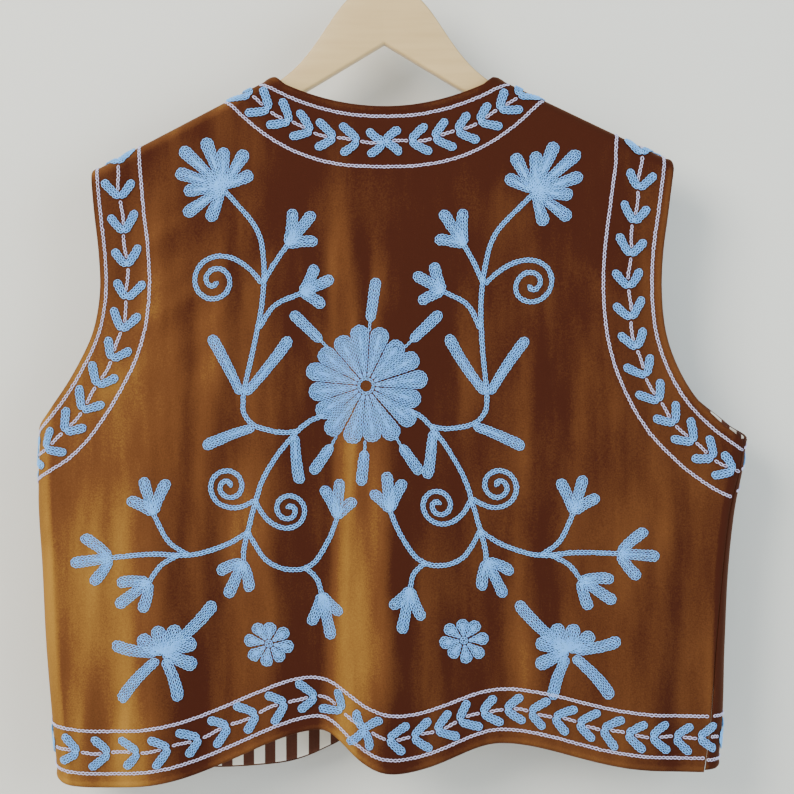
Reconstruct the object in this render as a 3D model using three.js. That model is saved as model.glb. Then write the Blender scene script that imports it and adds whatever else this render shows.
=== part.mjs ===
// A sleeveless velvet waistcoat with a striped lining, hung on a plain wooden hanger.
// Millimetres, +Z up. The origin is the inside top of the hook's bend, where a rail or nail carries it.
// The embroidered back faces -Y and the two fronts face +Y. Left is the wearer's left, -X.
import * as THREE from 'three';

// Cloth
const velvetWall = 1.6;
const liningWall = 1.0;
const pieceGap = 0.3;          // left between any two pieces
const seamSpare = 0.22;        // each panel stops this far short of an armhole or side seam line
// Where the cloth turns round a side or over the hanger's arm: its length from the outermost line to the
// flat, and how far across or down that quarter turn reaches
const sideTurn = { cloth: 26, reach: 14 };
const shoulderTurn = { cloth: 17.5, reach: 10 };

// Shoulders and neck, as hung
const neckHalf = 90;           // half the back neck's width
const neckPoint = -135;        // height of both neck points
const neckDrop = 23;           // the back neckline's dip
const shoulderSlope = { left: 0.524, right: 0.477 };
const shoulderTip = { left: 231, right: 228 };

// Front edges and neckline
const frontCentre = -14;       // where the two fronts meet

// The garment's sides seen from the back, and half its depth: a row for each height
const sections = [
  { z: -137, left: 272, right: 287, depth: 12 },
  { z: -215, left: 272, right: 287, depth: 12.5 },
  { z: -300, left: 272, right: 287, depth: 14 },
  { z: -400, left: 272, right: 287, depth: 17 },
  { z: -421, left: 272, right: 286, depth: 18 },
  { z: -445, left: 273, right: 283, depth: 18.5 },
  { z: -475, left: 273, right: 277, depth: 19 },
  { z: -520, left: 270, right: 272, depth: 20 },
  { z: -580, left: 267, right: 269, depth: 21 },
  { z: -640, left: 262, right: 267, depth: 22 },
  { z: -700, left: 256, right: 261, depth: 23 },
];

// Armholes, each row the distance of an edge from the middle at one height, measured along the cloth
const armholes = [
  { z: -206, backLeft: 231, backRight: 228, frontLeft: 231, frontRight: 228 },
  { z: -240, backLeft: 228, backRight: 223.5, frontLeft: 224, frontRight: 219 },
  { z: -275, backLeft: 224, backRight: 219, frontLeft: 215, frontRight: 210 },
  { z: -305, backLeft: 223, backRight: 218, frontLeft: 212, frontRight: 207 },
  { z: -335, backLeft: 228, backRight: 221, frontLeft: 215, frontRight: 210 },
  { z: -360, backLeft: 239, backRight: 229, frontLeft: 222, frontRight: 223 },
  { z: -385, backLeft: 254, backRight: 243, frontLeft: 232, frontRight: 247 },
  { z: -402, backLeft: 268, backRight: 259, frontLeft: 241, frontRight: 268 },
  { z: -412, backLeft: 284, backRight: 271, frontLeft: 249, frontRight: 283 },
  { z: -421, backLeft: 308, backRight: 285, frontLeft: 260, frontRight: 311 },
];

// Side seams: the cloth between each and the side's outermost line, towards the back when positive
const seams = [
  { z: -421, left: -24, right: 13 },
  { z: -475, left: -24, right: 16 },
  { z: -520, left: -24, right: 17 },
  { z: -600, left: -24, right: 22 },
  { z: -700, left: -24, right: 27 },
];

// Hem of the back: one level line with soft lifts, each with its own reach to left and right
const backHem = { left: -692, right: -679 };
const hemLifts = [
  { x: -52, left: 80, right: 33, lift: 38 },
  { x: 92, left: 48, right: 75, lift: 22 },
  { x: -290, left: 40, right: 40, lift: 10 },
];

// Hems of the two fronts by distance from the front edge, rising into the rounded corner
const frontHem = [
  { x: 9, left: -640, right: -622 },
  { x: 17, left: -658, right: -636 },
  { x: 30, left: -667, right: -645 },
  { x: 60, left: -679, right: -655 },
  { x: 90, left: -684, right: -660 },
  { x: 130, left: -687, right: -664 },
  { x: 180, left: -688, right: -669 },
  { x: 236, left: -686, right: -675 },
  { x: 292, left: -683, right: -677 },
];

// Neckline and front edge of each front, from neck point to rounded corner
const frontEdge = [
  { z: -135, x: 90 },
  { z: -165, x: 87 },
  { z: -225, x: 68 },
  { z: -285, x: 35 },
  { z: -325, x: 7 },
  { z: -350, x: 1.5 },
  { z: -450, x: 1.5 },
  { z: -570, x: 1.5 },
  { z: -605, x: 4 },
  { z: -636, x: 9 },
];

// Largest folds: ridges stand out from the body, troughs (negative) sink in
const backFolds = [
  { x: 6, lean: 0.02, spread: 26, rise: 7, top: -230, bottom: -420 },
  { x: -44, lean: 0.01, spread: 26, rise: -5, top: -260, bottom: -480 },
  { x: -185, lean: -0.05, spread: 52, rise: 8, top: -430, bottom: -640 },
  { x: 92, lean: 0.03, spread: 40, rise: -5, top: -420, bottom: -640 },
  { x: 205, lean: 0.02, spread: 42, rise: 6, top: -440, bottom: -650 },
  { x: -120, lean: 0.04, spread: 24, rise: -4, top: -330, bottom: -500 },
];
const frontFolds = [
  { x: -150, lean: 0.03, spread: 34, rise: 6, top: -300, bottom: -600 },
  { x: -70, lean: -0.02, spread: 28, rise: -4, top: -380, bottom: -620 },
  { x: 60, lean: 0.02, spread: 30, rise: 5, top: -360, bottom: -600 },
  { x: 165, lean: -0.04, spread: 38, rise: -4, top: -330, bottom: -620 },
];

// Hanger
const boardThick = 12;
const boardRound = 3;
const armSlope = 0.525;
const armHigh = 20;            // the arm's height, up and down
const armEnd = 219;
const armUnder = 6.5;          // from the shoulder line down to the arm
const crownTop = -60;
const wireRadius = 1.8;
const hookRadius = 18;         // to the middle of the wire

const materials = {
  velvet: () => new THREE.MeshStandardMaterial({ color: 0x5c3418, roughness: 0.9, metalness: 0 }),
  lining: () => new THREE.MeshStandardMaterial({ color: 0xcfc6ba, roughness: 0.85, metalness: 0 }),
  beech: () => new THREE.MeshStandardMaterial({ color: 0xcbb993, roughness: 0.5, metalness: 0 }),
  steel: () => new THREE.MeshStandardMaterial({ color: 0xb8babc, roughness: 0.3, metalness: 1 }),
};

const clamp = THREE.MathUtils.clamp;
const lerp = THREE.MathUtils.lerp;
const smoothstep = THREE.MathUtils.smoothstep;

// Reads one column of a table between its rows, with a smooth curve through them.
function readTable(rows, key, column, at) {
  const down = rows[rows.length - 1][key] < rows[0][key] ? -1 : 1;
  let row = 0;
  while (row < rows.length - 2 && (at - rows[row + 1][key]) * down > 0) row += 1;
  const slope = (a, b) => (rows[b][column] - rows[a][column]) / (rows[b][key] - rows[a][key]);
  const tangent = (k) => slope(Math.max(k - 1, 0), Math.min(k + 1, rows.length - 1));
  const span = rows[row + 1][key] - rows[row][key];
  const t = clamp((at - rows[row][key]) / span, 0, 1);
  const rise = rows[row + 1][column] - rows[row][column];
  const bend0 = tangent(row) * span - rise;
  const bend1 = rise - tangent(row + 1) * span;
  return rows[row][column] + rise * t + t * (1 - t) * (bend0 * (1 - t) + bend1 * t);
}

function shoulderHeight(x) {
  const slope = x < 0 ? shoulderSlope.left : shoulderSlope.right;
  return neckPoint - slope * (Math.abs(x) - neckHalf);
}

// Each fold is a bell across the cloth, growing from its top to its full rise at its bottom.
function foldRise(folds, x, z) {
  let sum = 0;
  for (const fold of folds) {
    const across = (x - fold.x - fold.lean * (z - fold.top)) / fold.spread;
    sum += fold.rise * Math.exp(-across * across) * smoothstep(-z, -fold.top, -fold.bottom);
  }
  return sum;
}

// A quarter turn at a border: the length of cloth left to the border becomes how far in from it a point
// stands, and the share of the depth that it has. Past the border the depth changes sign.
function turnCloth(left, { cloth, reach }) {
  const angle = clamp(left / cloth, -1, 1) * Math.PI / 2;
  const beyond = Math.max(Math.abs(left) - cloth, 0);
  return { inward: reach * (1 - Math.cos(angle)) + beyond, share: Math.sin(angle) };
}

const sideSpare = sideTurn.cloth - sideTurn.reach;
const shoulderSpare = shoulderTurn.cloth - shoulderTurn.reach;

// The hung cloth: a point x across and z up, measured along one face of it, becomes a point in space.
// Past a side's outermost line, or past the shoulder line, the cloth turns on to the other face.
function clothPoint(face, x, z) {
  const side = x < 0 ? 'left' : 'right';
  const sign = x < 0 ? -1 : 1;
  const edge = readTable(sections, 'z', side, z);
  const across = edge + sideSpare - Math.abs(x);
  const round = turnCloth(across, sideTurn);
  const placeX = sign * (edge - round.inward);
  const shoulder = shoulderHeight(placeX);
  const below = shoulder + shoulderSpare - z;
  const over = turnCloth(below, shoulderTurn);
  const folds = face === 'back' ? backFolds : frontFolds;
  const free = smoothstep(Math.abs(across), 40, 90) * smoothstep(Math.abs(below), 25, 85);
  const depth = readTable(sections, 'z', 'depth', z) + foldRise(folds, x, z) * free;
  const outward = depth * round.share * over.share;
  return new THREE.Vector3(placeX, face === 'back' ? -outward : outward, shoulder - over.inward);
}

function clothNormal(face, x, z) {
  const step = 0.4;
  const across = clothPoint(face, x + step, z).sub(clothPoint(face, x - step, z));
  const up = clothPoint(face, x, z + step).sub(clothPoint(face, x, z - step));
  const normal = across.cross(up).normalize();
  return face === 'back' ? normal : normal.negate();
}

// Fills a four-sided outline with a grid: each point blends the four edges that it lies between.
function fillOutline({ top, bottom, left, right }, us, vs) {
  const corner = [top(0), top(1), bottom(0), bottom(1)];
  return vs.map((v) => us.map((u) => {
    const mix = (axis) => lerp(top(u)[axis], bottom(u)[axis], v) + lerp(left(v)[axis], right(v)[axis], u)
      - lerp(lerp(corner[0][axis], corner[1][axis], u), lerp(corner[2][axis], corner[3][axis], u), v);
    return { x: mix('x'), z: mix('z') };
  }));
}

// A wall of cloth over a grid, from one depth under the outer face to another, closed at its edges.
function wallGeometry(face, grid, from, to) {
  const rows = grid.length;
  const columns = grid[0].length;
  const positions = [];
  for (const depth of [from, to]) {
    for (const { x, z } of grid.flat()) {
      positions.push(...clothPoint(face, x, z).addScaledVector(clothNormal(face, x, z), -depth));
    }
  }
  const index = [];
  const at = (layer, row, column) => layer * rows * columns + row * columns + column;
  const quad = (a, b, c, d) => index.push(a, b, c, a, c, d);
  for (let row = 0; row < rows - 1; row += 1) {
    for (let column = 0; column < columns - 1; column += 1) {
      quad(at(0, row, column), at(0, row + 1, column), at(0, row + 1, column + 1), at(0, row, column + 1));
      quad(at(1, row, column), at(1, row, column + 1), at(1, row + 1, column + 1), at(1, row + 1, column));
    }
  }
  for (let row = 0; row < rows - 1; row += 1) {
    quad(at(0, row, 0), at(1, row, 0), at(1, row + 1, 0), at(0, row + 1, 0));
    quad(at(0, row + 1, columns - 1), at(1, row + 1, columns - 1), at(1, row, columns - 1), at(0, row, columns - 1));
  }
  for (let column = 0; column < columns - 1; column += 1) {
    quad(at(0, 0, column + 1), at(1, 0, column + 1), at(1, 0, column), at(0, 0, column));
    quad(at(0, rows - 1, column), at(1, rows - 1, column), at(1, rows - 1, column + 1), at(0, rows - 1, column + 1));
  }
  if (face === 'front') index.reverse();
  const geometry = new THREE.BufferGeometry();
  geometry.setAttribute('position', new THREE.Float32BufferAttribute(positions, 3));
  geometry.setIndex(index);
  geometry.computeVertexNormals();
  return geometry;
}

// Rows of the grids: close together over the shoulder and at the foot of the armhole.
const underarm = 0.45;
const rowSteps = [0, 0.012, 0.024, 0.04, 0.1, 0.17, 0.24, 0.31, 0.37, 0.4, 0.42, 0.432, 0.438, 0.444, underarm,
  0.54, 0.65, 0.77, 0.89, 1];

const armholeFoot = armholes[armholes.length - 1].z;

// A side of a panel: its armhole down to the underarm, then its side seam down to the hem.
function sideLine(face, side, hemZ) {
  const sign = side === 'left' ? -1 : 1;
  const column = face + (side === 'left' ? 'Left' : 'Right');
  const tip = shoulderHeight(sign * shoulderTip[side]) + shoulderSpare - pieceGap / 2;
  return (v) => {
    if (v <= underarm) {
      const z = lerp(tip, armholeFoot, v / underarm);
      const atTip = z > armholes[0].z ? shoulderTip[side] : readTable(armholes, 'z', column, z);
      return { x: sign * (atTip - seamSpare), z };
    }
    const z = lerp(armholeFoot, hemZ, (v - underarm) / (1 - underarm));
    const edge = readTable(sections, 'z', side, z);
    const seam = readTable(seams, 'z', side, z);
    const reach = edge + sideSpare - seamSpare + (face === 'back' ? -seam : seam);
    return { x: sign * reach, z };
  };
}

function backHemHeight(x) {
  let z = lerp(backHem.left, backHem.right, smoothstep(x, -260, 120));
  for (const wave of hemLifts) {
    const away = (x - wave.x) / (x < wave.x ? wave.left : wave.right);
    z += wave.lift * Math.exp(-away * away);
  }
  return z;
}

function shoulderLine(side, from, to) {
  const sign = side === 'left' ? -1 : 1;
  return (t) => {
    const x = sign * lerp(from, to, t);
    return { x, z: shoulderHeight(x) + shoulderSpare - pieceGap / 2 };
  };
}

// Shares of the back's width where the neck points lie, and that its neckline takes to come off the board.
const neckColumns = { left: 0.3, right: 0.71 };
const neckTurn = 0.028;

function backOutline() {
  const leftShoulder = shoulderLine('left', shoulderTip.left, neckHalf);
  const rightShoulder = shoulderLine('right', neckHalf, shoulderTip.right);
  const top = (u) => {
    if (u <= neckColumns.left) return leftShoulder(u / neckColumns.left);
    if (u >= neckColumns.right) return rightShoulder((u - neckColumns.right) / (1 - neckColumns.right));
    const across = lerp(-1, 1, (u - neckColumns.left) / (neckColumns.right - neckColumns.left));
    const rise = shoulderSpare * smoothstep(Math.abs(across), 0.86, 1);
    return { x: across * neckHalf, z: neckPoint - neckDrop * (1 - across * across) + rise - pieceGap / 2 };
  };
  const hemStart = readSeam('left', backHem.left + 9);
  const hemEnd = readSeam('right', backHem.right + 2);
  const left = sideLine('back', 'left', backHemHeight(hemStart));
  const right = sideLine('back', 'right', backHemHeight(hemEnd));
  const bottom = (u) => {
    const x = lerp(left(1).x, right(1).x, u);
    return { x, z: backHemHeight(x) };
  };
  return { top, bottom, left, right };
}

// Where the back's side seam lies across at a given height.
function readSeam(side, z) {
  const sign = side === 'left' ? -1 : 1;
  return sign * (readTable(sections, 'z', side, z) + sideSpare - readTable(seams, 'z', side, z));
}

// A front runs from its side, u = 0, to its neckline and front edge, u = 1.
function frontOutline(side) {
  const sign = side === 'left' ? -1 : 1;
  const hemHeight = (x) => readTable(frontHem, 'x', side, Math.abs(x - frontCentre));
  const foot = frontHem[frontHem.length - 1][side];
  const left = sideLine('front', side, foot);
  const last = frontEdge[frontEdge.length - 1].z;
  const cornerDrop = frontHem[0][side] - last;
  const right = (v) => {
    const down = lerp(neckPoint, last, v);
    const near = smoothstep(-down, 150, 330);
    const rise = shoulderSpare * (1 - smoothstep(v, 0, 0.03)) - pieceGap / 2;
    return {
      x: sign * readTable(frontEdge, 'z', 'x', down) + lerp(0, frontCentre, near),
      z: down + rise + cornerDrop * smoothstep(v, 0.5, 1),
    };
  };
  const bottom = (u) => {
    const x = lerp(left(1).x, right(1).x, u);
    return { x, z: hemHeight(x) };
  };
  const shoulder = shoulderLine(side, shoulderTip[side], neckHalf);
  return { top: shoulder, bottom, left, right };
}

// Columns of the grids, each run of equal steps from one share of the width to the next: close together
// where the cloth turns round a side, and beside the neck points, where it comes down off the board.
function columnRun(stops) {
  const columns = [0];
  for (const { upTo, steps } of stops) {
    const start = columns[columns.length - 1];
    for (let step = 1; step <= steps; step += 1) columns.push(lerp(start, upTo, step / steps));
  }
  return columns;
}

const backColumns = columnRun([
  { upTo: 0.092, steps: 7 },
  { upTo: neckColumns.left, steps: 5 },
  { upTo: neckColumns.left + neckTurn, steps: 3 },
  { upTo: neckColumns.right - neckTurn, steps: 7 },
  { upTo: neckColumns.right, steps: 3 },
  { upTo: 0.97, steps: 6 },
  { upTo: 1, steps: 2 },
]);
const frontLeftColumns = columnRun([{ upTo: 1, steps: 11 }]);
const frontRightColumns = columnRun([
  { upTo: 0.16, steps: 6 },
  { upTo: 1, steps: 9 },
]);

const panels = {
  back: { face: 'back', grid: fillOutline(backOutline(), backColumns, rowSteps) },
  front_left: { face: 'front', grid: fillOutline(frontOutline('left'), frontLeftColumns, rowSteps) },
  front_right: { face: 'front', grid: fillOutline(frontOutline('right'), frontRightColumns, rowSteps) },
};
for (const row of panels.front_right.grid) row.reverse();

// The board: crown, two sloping arms with round ends, and an inverted V beneath.
function boardGeometry() {
  const shape = new THREE.Shape();
  const armTop = (x) => neckPoint - armUnder - armSlope * (x - neckHalf);
  const armFoot = (x) => armTop(x) - armHigh;
  const half = (sign, line) => {
    line.bezierCurveTo(sign * 40, crownTop, sign * 44, -112, sign * 84, -137);
    line.lineTo(sign * (armEnd - 10), armTop(armEnd - 10));
    line.quadraticCurveTo(sign * armEnd, armTop(armEnd), sign * armEnd, armTop(armEnd) - 8);
    line.quadraticCurveTo(sign * armEnd, armFoot(armEnd), sign * (armEnd - 12), armFoot(armEnd - 12));
    line.lineTo(sign * 70, armFoot(70) + 1);
    line.lineTo(0, -108);
  };
  const path = new THREE.Path();
  path.moveTo(0, crownTop);
  half(1, path);
  const right = path.getPoints(7);
  shape.setFromPoints([...right, ...right.slice(1, -1).reverse().map((p) => new THREE.Vector2(-p.x, p.y))]);
  const geometry = new THREE.ExtrudeGeometry(shape, {
    depth: boardThick - 2 * boardRound,
    bevelThickness: boardRound,
    bevelSize: boardRound,
    bevelOffset: -boardRound,
    bevelSegments: 3,
  });
  geometry.translate(0, 0, boardRound - boardThick / 2);
  return geometry.rotateX(Math.PI / 2);
}

// The hook: a straight shank, then three quarters of a circle over the origin.
function hookGeometry() {
  const middle = wireRadius - hookRadius;
  const points = [new THREE.Vector3(0, 0, crownTop + pieceGap), new THREE.Vector3(0, 0, crownTop + 12)];
  for (let degrees = -50; degrees <= 205; degrees += 15) {
    const angle = THREE.MathUtils.degToRad(degrees);
    points.push(new THREE.Vector3(hookRadius * Math.cos(angle), 0, middle + hookRadius * Math.sin(angle)));
  }
  const section = new THREE.Shape().absarc(0, 0, wireRadius, 0, 2 * Math.PI);
  const extrudePath = new THREE.CatmullRomCurve3(points, false, 'centripetal');
  return new THREE.ExtrudeGeometry(section, { steps: 48, curveSegments: 5, extrudePath });
}

const group = new THREE.Group();

function addPiece(name, geometry, material) {
  const mesh = new THREE.Mesh(geometry, material);
  mesh.name = name;
  group.add(mesh);
}

for (const [name, { face, grid }] of Object.entries(panels)) {
  const liningStart = velvetWall + pieceGap;
  addPiece(name, wallGeometry(face, grid, 0, velvetWall), materials.velvet());
  addPiece(`lining_${name}`, wallGeometry(face, grid, liningStart, liningStart + liningWall), materials.lining());
}
addPiece('hanger_board', boardGeometry(), materials.beech());
addPiece('hanger_hook', hookGeometry(), materials.steel());

export default group;
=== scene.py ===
import math

import bpy
import mathutils
import numpy as np
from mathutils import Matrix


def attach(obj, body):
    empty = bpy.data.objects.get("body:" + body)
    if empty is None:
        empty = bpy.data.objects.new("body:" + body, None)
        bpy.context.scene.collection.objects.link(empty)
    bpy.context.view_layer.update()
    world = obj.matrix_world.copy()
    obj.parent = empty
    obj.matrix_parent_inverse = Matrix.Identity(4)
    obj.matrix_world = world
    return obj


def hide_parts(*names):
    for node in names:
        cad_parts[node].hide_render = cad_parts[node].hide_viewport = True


# An embroidered velvet waistcoat on its wooden hanger. The cloth is worked out in millimetres, as the
# model was, and put into metres when a mesh is made.
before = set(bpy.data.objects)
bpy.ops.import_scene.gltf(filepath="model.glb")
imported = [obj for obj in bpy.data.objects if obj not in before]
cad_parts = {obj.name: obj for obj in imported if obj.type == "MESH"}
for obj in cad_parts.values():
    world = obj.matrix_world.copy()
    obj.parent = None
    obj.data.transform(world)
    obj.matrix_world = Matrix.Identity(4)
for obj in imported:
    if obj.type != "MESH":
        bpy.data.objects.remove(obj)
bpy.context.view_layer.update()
metres = 0.001
uvStep = 100                     # millimetres of cloth to one step of its UV map
stripeRepeat = 17.4              # the lining's stripes, cream and brown together
rng = np.random.default_rng(7)


# Rises from 0 to 1 between two values, level at both: three squares less two cubes.
def smooth(value, low, high):
    t = np.clip((value - low) / (high - low), 0, 1)
    return t * t * (3 - 2 * t)


def lerp(a, b, t):
    return a + (b - a) * t


def pair(x, z):
    return np.stack([x, z], -1)


# Named columns from rows of numbers.
def makeTable(names, *rows):
    return dict(zip(names.split(), np.array(rows, float).T))


# Reads a column between its rows: the straight line from row to row, plus a bend that matches the
# slopes of the neighbouring rows.
def readTable(table, key, column, at):
    keys, values = table[key], table[column]
    down = np.sign(keys[-1] - keys[0])
    at = np.asarray(at, float)
    row = np.searchsorted(keys[1:-1] * down, at * down)
    count = len(keys)
    before = np.maximum(np.arange(count) - 1, 0)
    after = np.minimum(np.arange(count) + 1, count - 1)
    tangent = (values[after] - values[before]) / (keys[after] - keys[before])
    span = keys[row + 1] - keys[row]
    t = np.clip((at - keys[row]) / span, 0, 1)
    rise = values[row + 1] - values[row]
    bendStart = tangent[row] * span - rise
    bendEnd = rise - tangent[row + 1] * span
    return values[row] + rise * t + t * (1 - t) * (bendStart * (1 - t) + bendEnd * t)


cloth = {
    "velvetWall": 1.6,
    "liningWall": 1.0,
    "gap": 0.3,
    "seamSpare": 0.22,           # each panel stops this far short of its armhole and side seam lines
    "liningTrim": 1.4,           # the lining ends this far inside the velvet's edge
    "sideTurn": (26, 14),        # cloth length of the quarter turn round a side, and its reach
    "shoulderTurn": (17.5, 10),
    "neckHalf": 90,
    "neckPoint": -135,
    "neckDrop": 23,
    "shoulderSlope": {"left": 0.524, "right": 0.477},
    "shoulderTip": {"left": 231, "right": 228},
    "frontCentre": -14,
    "backHem": (-692, -679),
}
sideSpare = cloth["sideTurn"][0] - cloth["sideTurn"][1]
shoulderSpare = cloth["shoulderTurn"][0] - cloth["shoulderTurn"][1]

sections = makeTable(
    "z left right depth",
    (-137, 272, 287, 12), (-215, 272, 287, 12.5), (-300, 272, 287, 14), (-400, 272, 287, 17),
    (-421, 272, 286, 18), (-445, 273, 283, 18.5), (-475, 273, 277, 19), (-520, 270, 272, 20),
    (-580, 267, 269, 21), (-640, 262, 267, 22), (-700, 256, 261, 23))

armholes = makeTable(
    "z backleft backright frontleft frontright",
    (-206, 231, 228, 231, 228), (-240, 228, 223.5, 224, 219), (-275, 224, 219, 215, 210),
    (-305, 223, 218, 212, 207), (-335, 228, 221, 215, 210), (-360, 239, 229, 222, 223),
    (-385, 254, 243, 232, 247), (-402, 268, 259, 241, 268), (-412, 284, 271, 249, 283),
    (-421, 308, 285, 260, 311))

seams = makeTable(
    "z left right",
    (-421, -24, 13), (-475, -24, 16), (-520, -24, 17), (-600, -24, 22), (-700, -24, 27))

hemLifts = makeTable(
    "x left right lift",
    (-52, 80, 33, 38), (92, 48, 75, 22), (-290, 40, 40, 10))

frontHem = makeTable(
    "x left right",
    (9, -640, -622), (17, -658, -636), (30, -667, -645), (60, -679, -655), (90, -684, -660),
    (130, -687, -664), (180, -688, -669), (236, -686, -675), (292, -683, -677))

frontEdge = makeTable(
    "z x",
    (-135, 90), (-165, 87), (-225, 68), (-285, 35), (-325, 7), (-350, 1.5), (-450, 1.5),
    (-570, 1.5), (-605, 4), (-636, 9))

# The largest folds, as the model has them: a ridge rises from the body, a trough sinks.
folds = {
    "back": makeTable(
        "x lean spread rise top bottom",
        (6, 0.02, 26, 7, -230, -420), (-44, 0.01, 26, -5, -260, -480), (-185, -0.05, 52, 8, -430, -640),
        (92, 0.03, 40, -5, -420, -640), (205, 0.02, 42, 6, -440, -650), (-120, 0.04, 24, -4, -330, -500)),
    "front": makeTable(
        "x lean spread rise top bottom",
        (-150, 0.03, 34, 6, -300, -600), (-70, -0.02, 28, -4, -380, -620), (60, 0.02, 30, 5, -360, -600),
        (165, -0.04, 38, -4, -330, -620)),
}

# Finer creases laid over them. Each is a bell across that wanders a little and fades at both ends.
creases = {
    "back": makeTable(
        "x lean spread rise top bottom wander",
        (-25, 0.00, 8, 2.3, -205, -700, 1), (-40, 0.01, 7, -1.6, -230, -690, 2),
        (-10, 0.00, 8, -1.5, -240, -700, 3),
        (-126, 0.03, 10, 1.7, -235, -600, 4), (-146, 0.03, 9, -1.2, -260, -560, 5),
        (-228, 0.01, 11, 2.0, -430, -700, 6), (-208, 0.02, 9, -1.4, -440, -690, 7),
        (-86, -0.02, 10, 1.2, -470, -700, 8), (38, -0.02, 12, 1.2, -430, -700, 9),
        (64, 0.02, 10, -1.0, -300, -560, 10), (122, 0.03, 11, 1.6, -300, -660, 11),
        (146, 0.02, 9, -1.2, -330, -640, 12), (222, 0.02, 10, 1.8, -430, -700, 13),
        (186, -0.02, 9, 1.0, -230, -420, 14), (-178, 0.04, 10, 1.1, -220, -400, 15),
        (-70, -0.28, 12, 0.9, -250, -420, 16), (70, 0.30, 13, 0.8, -230, -380, 17)),
    "front": makeTable(
        "x lean spread rise top bottom wander",
        (-190, 0.02, 12, 1.8, -260, -690, 21), (-120, 0.04, 10, -1.4, -300, -640, 22),
        (-96, -0.02, 11, 1.6, -360, -690, 23), (-46, 0.01, 9, 1.3, -400, -690, 24),
        (40, -0.02, 10, 1.5, -380, -690, 25), (94, 0.03, 12, -1.5, -320, -640, 26),
        (128, 0.02, 10, 1.7, -300, -690, 27), (196, -0.02, 12, 1.8, -260, -690, 28),
        (228, 0.01, 9, -1.3, -440, -690, 29)),
}


# The shoulder falls evenly from the neck point, on each side by its own slope.
def shoulderHeight(x):
    slope = np.where(x < 0, cloth["shoulderSlope"]["left"], cloth["shoulderSlope"]["right"])
    return cloth["neckPoint"] - slope * (np.abs(x) - cloth["neckHalf"])


# Sum of bells across the cloth, each growing from its top to its bottom.
def foldRise(face, x, z):
    total = 0
    for fx, lean, spread, rise, top, bottom in zip(*folds[face].values()):
        across = (x - fx - lean * (z - top)) / spread
        total = total + rise * np.exp(-across * across) * smooth(-z, -top, -bottom)
    return total


# Sum of narrower bells whose middles swing 4 mm to each side, plus a low uneven swell.
def creaseRise(face, x, z):
    total = 0.3 * np.sin(x / 21 + z / 64) + 0.3 * np.sin(x / 33 - z / 47 + 1.3)
    total = total + 0.2 * np.sin(x / 13 + z / 90 + 4)
    for cx, lean, spread, rise, top, bottom, wander in zip(*creases[face].values()):
        middle = cx + lean * (z - top) + 4 * np.sin(z / 58 + wander * 1.7)
        across = (x - middle) / spread
        shown = smooth(-z, -top, -top + 70) * (1 - smooth(-z, -bottom - 60, -bottom + 25))
        swell = 0.75 + 0.25 * np.sin(z / 37 + wander)
        total = total + rise * swell * np.exp(-across * across) * shown
    return total


# A quarter turn: the cloth left to the border gives the way in from it and the share of the depth.
def turnCloth(left, turn):
    length, reach = turn
    angle = np.clip(left / length, -1, 1) * math.pi / 2
    return reach * (1 - np.cos(angle)) + np.maximum(np.abs(left) - length, 0), np.sin(angle)


# A place on the flat cloth becomes a place in space: it turns round the sides and over the shoulders.
def clothPlace(face, x, z):
    sign = np.where(x < 0, -1.0, 1.0)
    edge = np.where(x < 0, readTable(sections, "z", "left", z), readTable(sections, "z", "right", z))
    across = edge + sideSpare - np.abs(x)
    inward, share = turnCloth(across, cloth["sideTurn"])
    placeX = sign * (edge - inward)
    shoulder = shoulderHeight(placeX)
    below = shoulder + shoulderSpare - z
    overInward, overShare = turnCloth(below, cloth["shoulderTurn"])
    free = smooth(np.abs(across), 40, 90) * smooth(np.abs(below), 25, 85)
    nearFree = smooth(np.abs(across), 8, 50) * smooth(np.abs(below), 25, 70)
    depth = readTable(sections, "z", "depth", z)
    depth = depth + foldRise(face, x, z) * free + creaseRise(face, x, z) * nearFree
    outward = depth * share * overShare
    return np.stack([placeX, -outward if face == "back" else outward, shoulder - overInward], -1)


def unit(vectors):
    return vectors / np.maximum(np.linalg.norm(vectors, axis=-1, keepdims=True), 1e-9)


# The way out of the worn cloth, from two short steps along it.
def clothNormal(face, x, z):
    step = 0.4
    across = clothPlace(face, x + step, z) - clothPlace(face, x - step, z)
    up = clothPlace(face, x, z + step) - clothPlace(face, x, z - step)
    normal = unit(np.cross(across, up))
    return normal if face == "back" else -normal


neckColumns = (0.3, 0.71)
underarm = 0.45
armholeFoot = armholes["z"][-1]
tipGap = cloth["gap"] / 2


def hemHeight(x):
    z = lerp(cloth["backHem"][0], cloth["backHem"][1], smooth(x, -260, 120))
    for middle, left, right, lift in zip(*hemLifts.values()):
        away = (x - middle) / np.where(x < middle, left, right)
        z = z + lift * np.exp(-away * away)
    return z


# How far out from the middle a side seam lies, measured along the cloth of one face.
def seamAcross(face, side, z):
    seam = readTable(seams, "z", side, z)
    return readTable(sections, "z", side, z) + sideSpare + (seam if face == "front" else -seam)


# A side of a panel: its armhole down to the underarm, then its side seam down to the hem.
def sideLine(face, side, hemZ):
    sign = -1 if side == "left" else 1
    tipX = cloth["shoulderTip"][side]
    tip = shoulderHeight(np.float64(sign * tipX)) + shoulderSpare - tipGap

    def line(v):
        v = np.asarray(v, float)
        armZ = lerp(tip, armholeFoot, v / underarm)
        armX = np.where(armZ > armholes["z"][0], tipX, readTable(armholes, "z", face + side, armZ))
        seamZ = lerp(armholeFoot, hemZ, (v - underarm) / (1 - underarm))
        seamX = seamAcross(face, side, seamZ)
        low = v > underarm
        x = np.where(low, seamX, armX) - cloth["seamSpare"]
        return pair(sign * x, np.where(low, seamZ, armZ))
    return line


# The top of a panel between two distances from the middle.
def shoulderLine(side, start, end):
    sign = -1 if side == "left" else 1

    def line(t):
        x = sign * lerp(start, end, np.asarray(t, float))
        return pair(x, shoulderHeight(x) + shoulderSpare - tipGap)
    return line


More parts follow.
